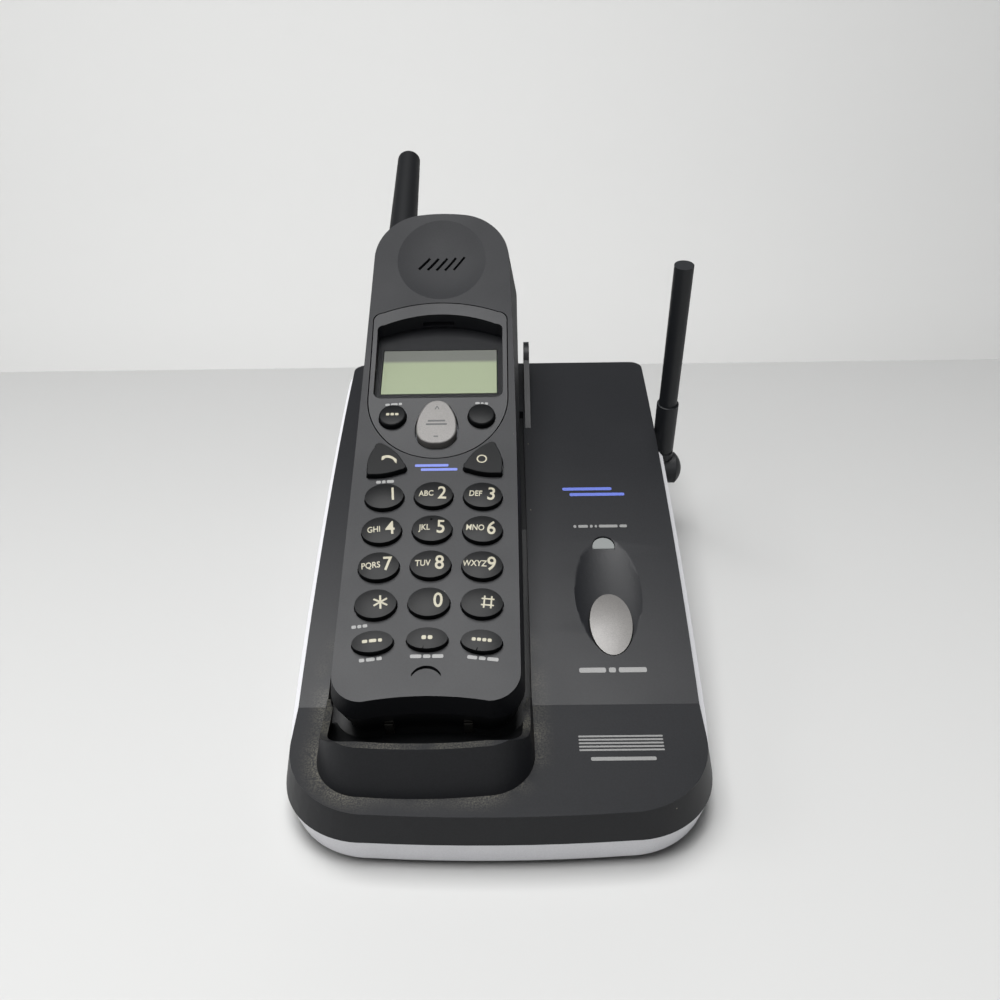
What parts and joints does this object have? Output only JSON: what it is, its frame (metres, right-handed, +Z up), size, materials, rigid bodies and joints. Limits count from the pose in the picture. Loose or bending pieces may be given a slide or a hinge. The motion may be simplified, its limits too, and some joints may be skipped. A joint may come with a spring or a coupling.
{
  "type": "cordless phone with base",
  "caption": "Cordless phone: a handset with a dial pad, display and stub antenna lying in a sloped desk base with a cradle cup, locator button and folding side antenna.",
  "frame": {"origin": "centre of the base's flat underside, with the rubber feet standing 1.5 mm below it", "axes": "+X to the right as the user faces the keys, +Y to the back of the base, +Z up"},
  "size_m": [0.1386, 0.2781, 0.13],
  "materials": {
    "charcoal_abs": "moulded, fine texture",
    "panel_abs": "moulded, fine texture",
    "grey_abs": "moulded, fine texture",
    "antenna_rubber": "moulded, smooth",
    "foot_rubber": "moulded, smooth",
    "key_plastic": "moulded, satin",
    "silver_key": "painted silver grey",
    "clear_window": "clear acrylic",
    "lcd": "smooth",
    "lens": "translucent",
    "led": "translucent",
    "board": "solder resist",
    "component_black": "moulded",
    "steel": "zinc plated",
    "contact_metal": "nickel plated",
    "mat_rubber": "silicone",
    "battery_wrap": "shrink wrap"
  },
  "bodies": {
    "base": {"base_upper_cabinet": "charcoal_abs", "cradle_tub": "charcoal_abs", "base_lower_cabinet": "grey_abs", "base_feet": "foot_rubber", "base_screws": "steel", "base_circuit_board": "board", "power_jack": "component_black", "line_jack": "component_black", "charge_contacts": "contact_metal", "button_board": "board", "locator_switch": "component_black", "charge_indicator_lens": "lens", "indicator_led": "led", "antenna_pivot": "steel"},
    "locator_button": {"locator_button": "silver_key"},
    "antenna": {"base_antenna": "antenna_rubber", "antenna_sleeve": "antenna_rubber"},
    "handset": {"handset_front_case": "charcoal_abs", "handset_rear_case": "charcoal_abs", "display_panel": "panel_abs", "display_window": "clear_window", "display_module": "lcd", "keypad_mat": "mat_rubber", "handset_circuit_board": "board", "earpiece_speaker": "component_black", "microphone": "component_black", "handset_ringer": "component_black", "handset_antenna": "antenna_rubber", "battery_pack": "battery_wrap", "battery_contacts": "contact_metal", "handset_charge_contacts": "contact_metal", "handset_screws": "steel"},
    "battery_cover": {"battery_cover": "charcoal_abs"},
    "key_1": {"key_1": "key_plastic"},
    "key_2": {"key_2": "key_plastic"},
    "key_3": {"key_3": "key_plastic"},
    "key_4": {"key_4": "key_plastic"},
    "key_5": {"key_5": "key_plastic"},
    "key_6": {"key_6": "key_plastic"},
    "key_7": {"key_7": "key_plastic"},
    "key_8": {"key_8": "key_plastic"},
    "key_9": {"key_9": "key_plastic"},
    "key_star": {"key_star": "key_plastic"},
    "key_0": {"key_0": "key_plastic"},
    "key_hash": {"key_hash": "key_plastic"},
    "function_key_left": {"function_key_left": "key_plastic"},
    "function_key_middle": {"function_key_middle": "key_plastic"},
    "function_key_right": {"function_key_right": "key_plastic"},
    "talk_key": {"talk_key": "key_plastic"},
    "off_key": {"off_key": "key_plastic"},
    "redial_key": {"redial_key": "key_plastic"},
    "edit_key": {"edit_key": "key_plastic"},
    "navigator_key": {"navigator_key": "silver_key"}
  },
  "joints": [
    {"name": "locator_button_press", "type": "slide", "parent": "base", "child": "locator_button", "axis": [0, 0.2556, -0.9668], "range_m": [0, 0.0012], "stiffness_N_per_m": 400, "springref_m": -0.001},
    {"name": "antenna_fold", "type": "hinge", "parent": "base", "child": "antenna", "pos_m": [0.066, 0.062, 0.0279], "axis": [1, 0, 0], "range_deg": [-97.8, 10]},
    {"name": "handset_lift", "type": "slide", "parent": "base", "child": "handset", "axis": [0, -0.3272, 0.9449], "range_m": [0, 0.06]},
    {"name": "battery_cover_slide", "type": "slide", "parent": "handset", "child": "battery_cover", "axis": [0, -0.9449, -0.3272], "range_m": [0, 0.018]},
    {"name": "key_1_press", "type": "slide", "parent": "handset", "child": "key_1", "axis": [0, 0.3272, -0.9449], "range_m": [0, 0.0008], "stiffness_N_per_m": 600, "springref_m": -0.0006},
    {"name": "key_2_press", "type": "slide", "parent": "handset", "child": "key_2", "axis": [0, 0.3272, -0.9449], "range_m": [0, 0.0008], "stiffness_N_per_m": 600, "springref_m": -0.0006},
    {"name": "key_3_press", "type": "slide", "parent": "handset", "child": "key_3", "axis": [0, 0.3272, -0.9449], "range_m": [0, 0.0008], "stiffness_N_per_m": 600, "springref_m": -0.0006},
    {"name": "key_4_press", "type": "slide", "parent": "handset", "child": "key_4", "axis": [0, 0.3272, -0.9449], "range_m": [0, 0.0008], "stiffness_N_per_m": 600, "springref_m": -0.0006},
    {"name": "key_5_press", "type": "slide", "parent": "handset", "child": "key_5", "axis": [0, 0.3272, -0.9449], "range_m": [0, 0.0008], "stiffness_N_per_m": 600, "springref_m": -0.0006},
    {"name": "key_6_press", "type": "slide", "parent": "handset", "child": "key_6", "axis": [0, 0.3272, -0.9449], "range_m": [0, 0.0008], "stiffness_N_per_m": 600, "springref_m": -0.0006},
    {"name": "key_7_press", "type": "slide", "parent": "handset", "child": "key_7", "axis": [0, 0.3272, -0.9449], "range_m": [0, 0.0008], "stiffness_N_per_m": 600, "springref_m": -0.0006},
    {"name": "key_8_press", "type": "slide", "parent": "handset", "child": "key_8", "axis": [0, 0.3272, -0.9449], "range_m": [0, 0.0008], "stiffness_N_per_m": 600, "springref_m": -0.0006},
    {"name": "key_9_press", "type": "slide", "parent": "handset", "child": "key_9", "axis": [0, 0.3272, -0.9449], "range_m": [0, 0.0008], "stiffness_N_per_m": 600, "springref_m": -0.0006},
    {"name": "key_star_press", "type": "slide", "parent": "handset", "child": "key_star", "axis": [0, 0.3272, -0.9449], "range_m": [0, 0.0008], "stiffness_N_per_m": 600, "springref_m": -0.0006},
    {"name": "key_0_press", "type": "slide", "parent": "handset", "child": "key_0", "axis": [0, 0.3272, -0.9449], "range_m": [0, 0.0008], "stiffness_N_per_m": 600, "springref_m": -0.0006},
    {"name": "key_hash_press", "type": "slide", "parent": "handset", "child": "key_hash", "axis": [0, 0.3272, -0.9449], "range_m": [0, 0.0008], "stiffness_N_per_m": 600, "springref_m": -0.0006},
    {"name": "function_key_left_press", "type": "slide", "parent": "handset", "child": "function_key_left", "axis": [0, 0.3272, -0.9449], "range_m": [0, 0.0008], "stiffness_N_per_m": 600, "springref_m": -0.0006},
    {"name": "function_key_middle_press", "type": "slide", "parent": "handset", "child": "function_key_middle", "axis": [0, 0.3272, -0.9449], "range_m": [0, 0.0008], "stiffness_N_per_m": 600, "springref_m": -0.0006},
    {"name": "function_key_right_press", "type": "slide", "parent": "handset", "child": "function_key_right", "axis": [0, 0.3272, -0.9449], "range_m": [0, 0.0008], "stiffness_N_per_m": 600, "springref_m": -0.0006},
    {"name": "talk_key_press", "type": "slide", "parent": "handset", "child": "talk_key", "axis": [0, 0.3272, -0.9449], "range_m": [0, 0.0008], "stiffness_N_per_m": 600, "springref_m": -0.0006},
    {"name": "off_key_press", "type": "slide", "parent": "handset", "child": "off_key", "axis": [0, 0.3272, -0.9449], "range_m": [0, 0.0008], "stiffness_N_per_m": 600, "springref_m": -0.0006},
    {"name": "redial_key_press", "type": "slide", "parent": "handset", "child": "redial_key", "axis": [0, 0.3272, -0.9449], "range_m": [0, 0.0008], "stiffness_N_per_m": 600, "springref_m": -0.0006},
    {"name": "edit_key_press", "type": "slide", "parent": "handset", "child": "edit_key", "axis": [0, 0.3272, -0.9449], "range_m": [0, 0.0008], "stiffness_N_per_m": 600, "springref_m": -0.0006},
    {"name": "navigator_key_press", "type": "slide", "parent": "handset", "child": "navigator_key", "axis": [0, 0.3272, -0.9449], "range_m": [0, 0.0008], "stiffness_N_per_m": 600, "springref_m": -0.0006}
  ]
}
